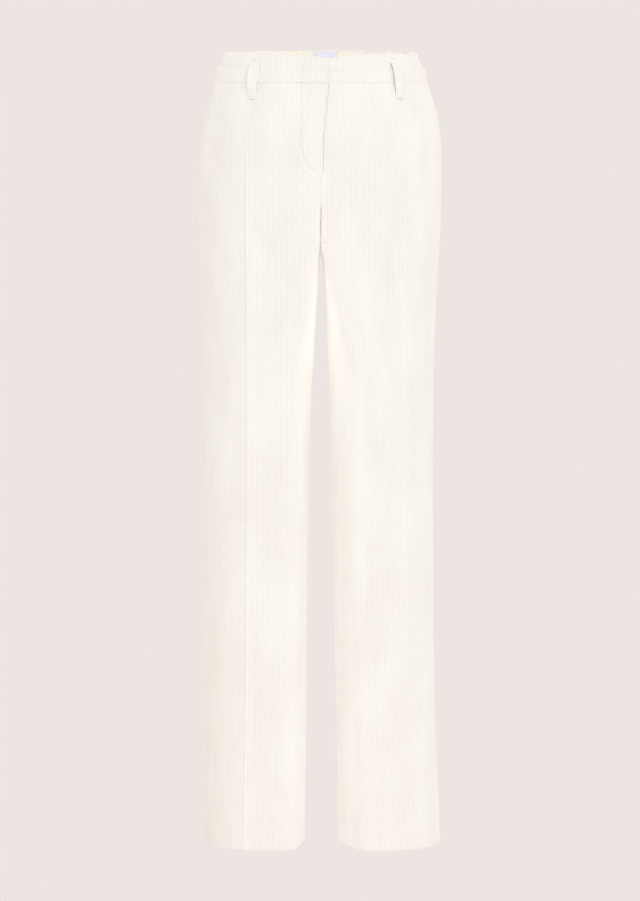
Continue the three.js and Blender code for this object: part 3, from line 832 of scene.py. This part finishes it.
# Each loop's place, half, x at its top and end, whether it is on the back, how far it stands as
# a share of its slot, and how much further its outer edge stands than its middle
LOOPS = (
    ("front_right", RIGHT, -86, -92, False, 0.62, 1.75),
    ("front_left", LEFT, 98, 107, False, 0.62, 0),
    ("back_right", RIGHT, -77, -80, True, 1, 0),
    ("back_left", LEFT, 91, 94, True, 1, 0),
)


def belt_loop(place, half, top_x, end_x, back, standing, twist, materials):
    shares = np.linspace(0, 1, 45)
    heights = LOOP_TOP + (LOOP_END - LOOP_TOP) * shares
    cloth = Cloth(half, heights)
    middle = cloth.distance_to_x(top_x + (end_x - top_x) * shares, back)
    stand = smooth_curve(LOOP_STAND_OFF["share"], LOOP_STAND_OFF["stand"], shares[None, :]).T
    on_band = np.where(cloth.height > WAIST_SEAM, BAND_PROUD, 0)
    lifted = (LOOP_STAND - 0.3) * standing * np.clip(stand, 0, 1)
    first = middle - LOOP_WIDTH / 2
    last = middle + LOOP_WIDTH / 2

    def relief(rows, distance, across):
        near = np.minimum(distance - first, last - distance)
        edge = -0.45 * np.clip(1 - near / 1.2, 0, 1) ** 2
        stitched = -0.3 * np.exp(-(((near - 1.9) / 0.5) ** 2))
        turned = 1 + twist * across / LOOP_WIDTH
        return on_band + SEAM_GAP + 0.4 + lifted * turned + LOOP_WALL - 0.3 + edge + stitched

    name = "belt_loop_" + place
    depth = LOOP_WALL - 0.3
    made = ribbed_wall(name + "_cloth", cloth, first, last, middle, relief, depth, materials, 2)
    declare(made, name)


def label(materials):
    cloth = Cloth(LEFT, np.linspace(LABEL_TOP, LABEL_END, 18))
    seat = column(LINES, "seat", cloth.height)
    share = np.linspace(0, 1, 34)[None, :]
    places = cloth.distance(1) + seat - (LABEL_RIGHT + (LABEL_LEFT - LABEL_RIGHT) * share)
    face = BAND_WALL - BAND_PROUD + SEAM_GAP
    hanging = (LABEL_TOP - cloth.height) / (LABEL_TOP - LABEL_END)
    wave = 0.12 * (1 - np.cos(share * 9)) * hanging
    outer = cloth.points(places, -face)
    inner = cloth.points(places, -face - LABEL_WALL - wave)
    uv = cloth_uv(places, cloth.height)
    made = wall("label_cloth", outer, uv, inner, uv, materials)
    declare(made, "label")


# Sewing


# How far along a stitch each of its rings is, the ring's size, and how far it is lifted
STITCH_RINGS = ((-0.5, 0.35, -0.25), (-0.25, 0.9, 0.1), (0.25, 0.9, 0.1), (0.5, 0.35, -0.25))


def stitch_shape():
    """One stitch lying along X, a little raised in its middle, 1 long and 1 wide."""
    angles = np.arange(6) * math.pi / 3
    rings = []
    for along, size, lift in STITCH_RINGS:
        wide = np.cos(angles) * size / 2
        high = np.sin(angles) * size / 2 + lift
        rings.append(np.stack([np.full(6, along), wide, high], axis=1))
    points = np.concatenate(rings)
    faces = []
    for ring in range(3):
        for k in range(6):
            a = ring * 6 + k
            b = ring * 6 + (k + 1) % 6
            faces += [(a, b, a + 6), (b, b + 6, a + 6)]
    for k in range(1, 5):
        faces += [(0, k + 1, k), (18, 18 + k, 19 + k)]
    return points, np.array(faces)


def stitches_along(path, normals, pitch, length, thick):
    """Points and faces of stitches laid end to end along a path."""
    steps = np.linalg.norm(np.diff(path, axis=0), axis=1)
    travelled = np.concatenate([[0], np.cumsum(steps)])
    count = max(1, int(travelled[-1] / pitch))
    shape, shape_faces = stitch_shape()
    points = []
    faces = []
    for k in range(count):
        middle = (k + 0.5) * travelled[-1] / count
        ends = [middle - length / 2, middle + length / 2]
        place = np.array([np.interp(middle, travelled, path[:, i]) for i in range(3)])
        way = np.array([np.diff(np.interp(ends, travelled, path[:, i]))[0] for i in range(3)])
        up = np.array([np.interp(middle, travelled, normals[:, i]) for i in range(3)])
        way /= np.linalg.norm(way)
        side = np.cross(up, way)
        side /= np.linalg.norm(side)
        up = np.cross(way, side)
        frame = np.stack([way * length, side * thick, up * thick])
        faces.append(shape_faces + len(shape) * k)
        points.append(place + shape @ frame)
    return np.concatenate(points), np.concatenate(faces)


def line_on_cloth(half, heights, distances, out):
    """A path on the cloth and the directions out of it."""
    cloth = Cloth(half, heights)
    places = np.asarray(distances, float).reshape(-1, 1)
    near = cloth.points(places, out)[:, 0]
    far = cloth.points(places, out + 1)[:, 0]
    return near, far - near


def fly_stitch_line():
    straight = np.arange(WAIST_SEAM - 2, STITCH_BEND, -3)
    turn = np.linspace(0, math.pi / 2, 24)
    heights = np.concatenate([straight, STITCH_BEND - (STITCH_BEND - STITCH_LOW) * np.sin(turn)])
    bend = STITCH_END + (stitch_distance(STITCH_BEND) - STITCH_END) * np.cos(turn)
    distances = np.concatenate([stitch_distance(straight), bend])
    return line_on_cloth(RIGHT, heights, distances, 0.35)


def mouth_stitch_line(half):
    heights = np.arange(WAIST_SEAM - 3, POCKET_END + 6, -4)
    cloth = Cloth(half, heights)
    places = cloth.distance(SIDE_SEAM) - mouth_forward(cloth.height) - 6
    return line_on_cloth(half, heights, places, 0.15)


def hem_line(half):
    """The hem's blind stitches catch single threads all round the leg."""
    height = HEM + HEM_DEPTH
    cloth = Cloth(half, [height])
    places = np.arange(2, cloth.distance(1)[0, 0] - 2, 3)
    return line_on_cloth(half, np.full(len(places), height), places, -0.2)


def bar_tack_lines(half, top_x, end_x, back):
    """Dense stitches across a belt loop at its top and at its end."""
    lines = []
    for share, out in ((0.05, 3.0), (0.95, 2.4)):
        height = LOOP_TOP + (LOOP_END - LOOP_TOP) * share
        cloth = Cloth(half, [height])
        middle = cloth.distance_to_x(np.array([top_x + (end_x - top_x) * share]), back)[0, 0]
        places = middle + np.linspace(-0.42, 0.42, 12) * LOOP_WIDTH
        for drop in (-0.6, 0.6):
            heights = np.full(len(places), height + drop)
            lines.append(line_on_cloth(half, heights, places, out))
    return lines


def sewing(material):
    parts = [stitches_along(*fly_stitch_line(), 3.2, 2.6, 0.5)]
    for half in (RIGHT, LEFT):
        parts.append(stitches_along(*mouth_stitch_line(half), 3.4, 2.6, 0.4))
        parts.append(stitches_along(*hem_line(half), 9, 1.4, 0.4))
    for _, half, top_x, end_x, back, _, _ in LOOPS:
        for line in bar_tack_lines(half, top_x, end_x, back):
            parts.append(stitches_along(*line, 1.2, 1.1, 0.4))
    points = []
    faces = []
    count = 0
    for part_points, part_faces in parts:
        points.append(part_points)
        faces.append(part_faces + count)
        count += len(part_points)
    points = np.concatenate(points)
    made = piece("sewing", points, np.concatenate(faces), points[:, :2] * METRES, [material])
    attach(made, "root")


# Materials


def linear(hex_colour, alpha=1.0):
    """An sRGB hex colour as linear values."""
    values = [int(hex_colour[i : i + 2], 16) / 255 for i in (1, 3, 5)]
    made = [v / 12.92 if v <= 0.04045 else ((v + 0.055) / 1.055) ** 2.4 for v in values]
    return (*made, alpha)


def new_material(name):
    made = bpy.data.materials.new(name)
    made.use_nodes = True
    made.node_tree.nodes.clear()
    return made, made.node_tree


def add(tree, kind, settings=None, **inputs):
    """A node with its settings, and each input a value or another node's output."""
    node = tree.nodes.new("ShaderNode" + kind)
    for key, value in (settings or {}).items():
        setattr(node, key, value)
    for key, value in inputs.items():
        name = key.replace("_", " ") if not key.startswith("in_") else int(key[3:])
        socket = node.inputs[name]
        if isinstance(value, bpy.types.NodeSocket):
            tree.links.new(value, socket)
        else:
            socket.default_value = value
    return node


def ramp(tree, factor, stops):
    node = add(tree, "ValToRGB", Fac=factor)
    points = node.color_ramp.elements
    while len(points) < len(stops):
        points.new(0.5)
    for point, (place, colour) in zip(points, stops):
        point.position = place
        point.color = linear(colour) if isinstance(colour, str) else (colour,) * 3 + (1,)
    return node.outputs["Color"]


def groove_shade_mask(tree):
    """1 in the grooves between the ribs and 0 on their tops: the mask for the shade painted into the
    grooves.
    """
    uv = add(tree, "UVMap", {"uv_map": "cloth"})
    parts = add(tree, "SeparateXYZ", Vector=uv.outputs["UV"])
    place = add(tree, "Math", {"operation": "DIVIDE"}, in_0=parts.outputs["X"], in_1=WALE * METRES)
    part = add(tree, "Math", {"operation": "FRACT"}, in_0=place.outputs[0])
    turned = add(
        tree, "Math", {"operation": "MULTIPLY_ADD"}, in_0=part.outputs[0], in_1=2.0, in_2=-1.0
    )
    away = add(tree, "Math", {"operation": "ABSOLUTE"}, in_0=turned.outputs[0])
    return add(tree, "Math", {"operation": "POWER"}, in_0=away.outputs[0], in_1=3.0).outputs[0]


def corduroy():
    """Cotton corduroy, ribs of cut pile. The pile scatters light softly, glows a little at grazing
    angles and lies in slightly lighter and darker patches, and the grooves get painted shade, a
    darker colour."""
    made, tree = new_material("cotton corduroy, brushed pile")
    # where shade is painted into the grooves between the ribs
    painted_groove_shade = groove_shade_mask(tree)
    place = add(tree, "TexCoord").outputs["Object"]
    patches = add(tree, "Mapping", Vector=place, Scale=(26, 26, 9))
    nap = add(tree, "TexNoise", Vector=patches.outputs[0], Scale=1.0, Detail=4.0, Roughness=0.6)
    top = ramp(tree, nap.outputs["Fac"], [(0.35, "#faf7f1"), (0.65, "#fefcf8")])
    # painted shade: the grooves' colour, darker than the rib tops'
    low = ramp(tree, nap.outputs["Fac"], [(0.35, "#f1ece4"), (0.65, "#f6f2ea")])
    # mixes the darker groove colour in by the mask, painting shade into the grooves
    colour = add(tree, "Mix", {"data_type": "RGBA"}, Factor=painted_groove_shade)
    tree.links.new(top, colour.inputs[6])
    tree.links.new(low, colour.inputs[7])
    tufts = add(tree, "Mapping", Vector=place, Scale=(1400, 1400, 700))
    pile = add(tree, "TexNoise", Vector=tufts.outputs[0], Scale=1.0, Detail=3.0, Roughness=0.65)
    bump = add(tree, "Bump", Strength=0.55, Distance=0.0004, Height=pile.outputs["Fac"])
    shader = add(
        tree,
        "BsdfPrincipled",
        Base_Color=colour.outputs[2],
        Roughness=0.9,
        Normal=bump.outputs[0],
        Specular_IOR_Level=0.2,
        Sheen_Weight=0.25,
        Sheen_Roughness=0.45,
    )
    add(tree, "OutputMaterial", Surface=shader.outputs[0])
    return made


def corduroy_back():
    """The wrong side of corduroy: a plain cotton ground weave, matt and a little warmer."""
    made, tree = new_material("cotton ground weave")
    uv = add(tree, "UVMap", {"uv_map": "cloth"})
    threads = add(tree, "Mapping", Vector=uv.outputs["UV"], Scale=(1 / 0.0007, 1 / 0.0007, 1))
    weave = add(tree, "TexChecker", Vector=threads.outputs[0], Scale=1.0)
    bump = add(tree, "Bump", Strength=0.4, Distance=0.0002, Height=weave.outputs["Fac"])
    shader = add(
        tree,
        "BsdfPrincipled",
        Base_Color=linear("#fdf9f1"),
        Roughness=0.95,
        Normal=bump.outputs[0],
        Specular_IOR_Level=0.2,
    )
    add(tree, "OutputMaterial", Surface=shader.outputs[0])
    return made


def satin():
    """Woven polyester satin of the label: fine cross ribs and a soft gloss, pale blue white."""
    made, tree = new_material("woven polyester satin")
    uv = add(tree, "UVMap", {"uv_map": "cloth"})
    threads = add(tree, "Mapping", Vector=uv.outputs["UV"], Scale=(1, 1 / 0.0005, 1))
    weave = add(tree, "TexWave", {"bands_direction": "Y"}, Vector=threads.outputs[0], Scale=1.0)
    bump = add(tree, "Bump", Strength=0.3, Distance=0.0001, Height=weave.outputs["Fac"])
    shader = add(
        tree,
        "BsdfPrincipled",
        Base_Color=linear("#e9edfd"),
        Roughness=0.45,
        Normal=bump.outputs[0],
    )
    add(tree, "OutputMaterial", Surface=shader.outputs[0])
    return made


def thread():
    """Spun polyester sewing thread: fine, matt, the colour of the cloth."""
    made, tree = new_material("spun polyester thread")
    place = add(tree, "TexCoord").outputs["Object"]
    twist = add(tree, "TexWave", {"bands_direction": "DIAGONAL"}, Vector=place, Scale=1 / 0.0012)
    bump = add(tree, "Bump", Strength=0.4, Distance=0.0001, Height=twist.outputs["Fac"])
    shader = add(
        tree,
        "BsdfPrincipled",
        Base_Color=linear("#f8f2ea"),
        Roughness=0.7,
        Normal=bump.outputs[0],
    )
    add(tree, "OutputMaterial", Surface=shader.outputs[0])
    return made


def floor_paint():
    """Matt paint of the studio floor, the backdrop's pale pinkish grey."""
    made, tree = new_material("matt floor paint")
    shader = add(tree, "BsdfPrincipled", Base_Color=linear("#eee7e4"), Roughness=1.0)
    add(tree, "OutputMaterial", Surface=shader.outputs[0])
    return made


# Studio


def sun(name, energy, azimuth, elevation, spread, colour="#ffffff"):
    """Soft light from a direction: azimuth 0 is the front, 90 the wearer's left."""
    light = bpy.data.lights.new(name, "SUN")
    light.energy = energy
    light.angle = math.radians(spread)
    light.color = linear(colour)[:3]
    lamp = bpy.data.objects.new(name, light)
    bpy.context.collection.objects.link(lamp)
    lamp.rotation_euler = (math.radians(90 - elevation), 0, math.radians(azimuth))
    return lamp


def point_lamp(name, energy, place, radius):
    light = bpy.data.lights.new(name, "POINT")
    light.energy = energy
    light.shadow_soft_size = radius
    lamp = bpy.data.objects.new(name, light)
    bpy.context.collection.objects.link(lamp)
    lamp.location = place
    return lamp


def light_inner_side(half, energy, lit):
    """Soft light on the inner side of one leg only, past the other leg, and more at the fork."""
    side = half["side"]
    name = "inner side " + half["name"]
    reached = bpy.data.collections.new(name)
    for leg_piece in lit:
        reached.objects.link(leg_piece)
    along = sun(name, energy, -88 * side, 0, 40, "#e8f0ff")
    lamps = [along]
    for place_name, fork_energy, height in FORK_LAMPS:
        place = (FORK_LAMP_SIDE * side, FORK_LAMP_FORWARD, height)
        lamps.append(point_lamp(name + place_name, fork_energy, place, FORK_LAMP_RADIUS))
    for lamp in lamps:
        lamp.light_linking.receiver_collection = reached
        lamp.light_linking.blocker_collection = reached


def backdrop():
    """An even pinkish backdrop, and neutral light from all round that doesn't show in it."""
    world = bpy.data.worlds.new("studio")
    world.use_nodes = True
    tree = world.node_tree
    tree.nodes.clear()
    seen = add(tree, "Background", Color=linear("#ede5e2"))
    light = add(tree, "Background", Color=linear("#f0ede9"))
    camera_ray = add(tree, "LightPath").outputs["Is Camera Ray"]
    mixed = add(tree, "MixShader", in_0=camera_ray, in_1=light.outputs[0], in_2=seen.outputs[0])
    add(tree, "OutputWorld", Surface=mixed.outputs[0])
    return world


def studio():
    bpy.context.scene.world = backdrop()
    for x in (-WAIST_LAMP_SIDE, WAIST_LAMP_SIDE):
        place = (x, 0, WAIST_LAMP_HEIGHT)
        point_lamp("inside the waist", WAIST_LAMP_ENERGY, place, WAIST_LAMP_RADIUS)
    sun("key", 0.58, 18, 12, 60, "#e6f0ff")
    sun("top", 0.05, 0, 65, 60)
    sun("back fill", 0.3, 200, 15, 60)
    bpy.ops.mesh.primitive_plane_add(size=2, location=(0, 0, FLOOR_HEIGHT))
    floor = bpy.context.object
    floor.name = "floor"
    floor.data.materials.append(floor_paint())
    bpy.context.scene.view_settings.view_transform = "Standard"


def camera():
    data = bpy.data.cameras.new("camera")
    data.lens = CAMERA_LENS
    made = bpy.data.objects.new("camera", data)
    bpy.context.collection.objects.link(made)
    made.location = CAMERA_PLACE
    made.rotation_euler = (math.radians(90), 0, 0)
    bpy.context.scene.camera = made


def main():
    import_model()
    camera()
    studio()
    cloth = [corduroy(), corduroy_back()]
    for half, energy in ((RIGHT, 0.2), (LEFT, 0.42)):
        front = panel("front_" + half["name"], half, True, cloth)
        back = panel("back_" + half["name"], half, False, cloth)
        light_inner_side(half, energy, (front, back))
        waistband(half, cloth)
        pocket_facing(half, cloth)
    for loop in LOOPS:
        belt_loop(*loop, cloth)
    woven = satin()
    label([woven, woven])
    sewing(thread())


main()
